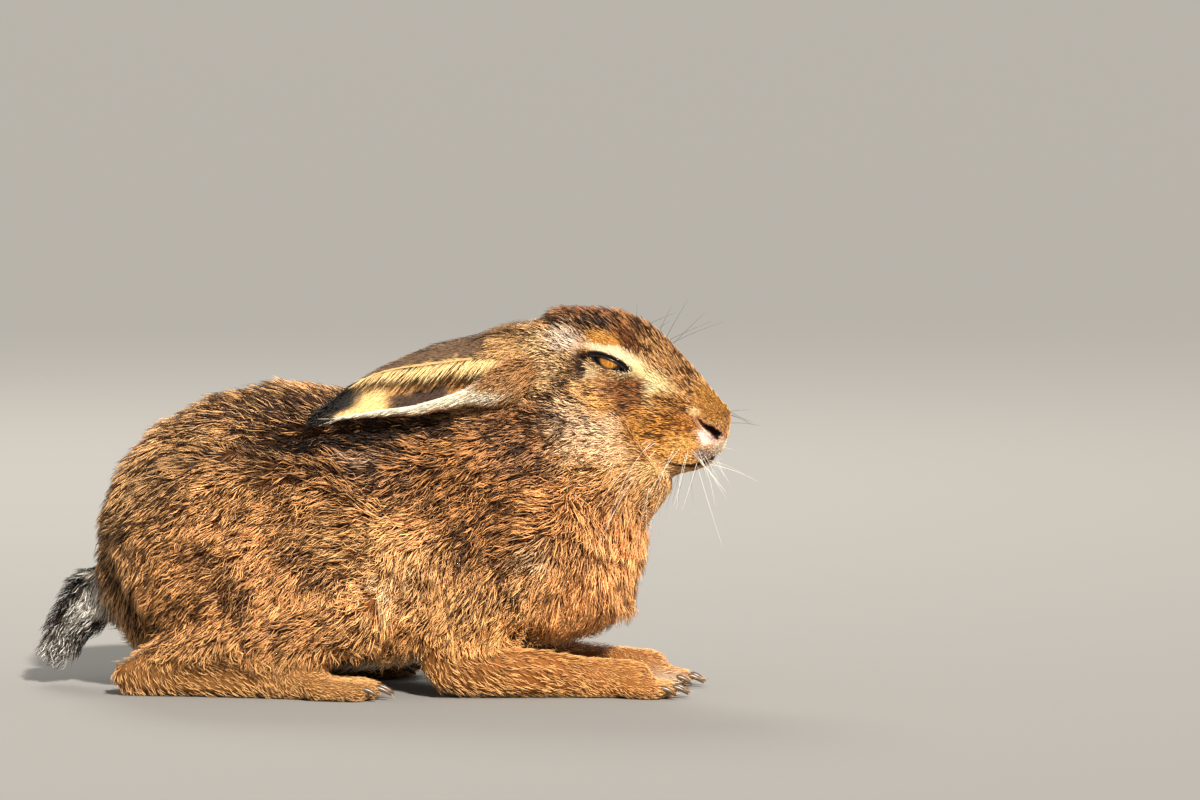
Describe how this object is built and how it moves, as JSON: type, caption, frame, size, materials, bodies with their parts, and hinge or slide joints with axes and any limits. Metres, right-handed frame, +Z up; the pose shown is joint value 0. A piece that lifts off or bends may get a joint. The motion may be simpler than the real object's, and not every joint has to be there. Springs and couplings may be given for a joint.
{
  "type": "brown hare",
  "caption": "Life-size brown hare lying low with its head raised in profile, ears laid back over the shoulders and eyes half closed.",
  "frame": {"origin": "middle of the bounding box's footprint, at the ground", "axes": "+X along the body toward the nose, +Y to the animal's left, +Z up"},
  "size_m": [0.3824, 0.1696, 0.2092],
  "materials": {
    "coat": "short grizzled brown fur, matt",
    "ear": "very short fur, cream margin and black tip",
    "paw": "dense short buff fur with dark horn claws",
    "eye": "wet, amber iris with a dark pupil"
  },
  "bodies": {
    "root": {"head": "coat", "neck": "coat", "torso": "coat", "tail": "coat", "ear_right": "ear", "upper_arm_right": "coat", "forearm_right": "coat", "forepaw_right": "paw", "thigh_right": "coat", "shank_right": "coat", "hind_foot_right": "paw", "eye_right": "eye", "ear_left": "ear", "upper_arm_left": "coat", "forearm_left": "coat", "forepaw_left": "paw", "thigh_left": "coat", "shank_left": "coat", "hind_foot_left": "paw", "eye_left": "eye"}
  },
  "joints": []
}
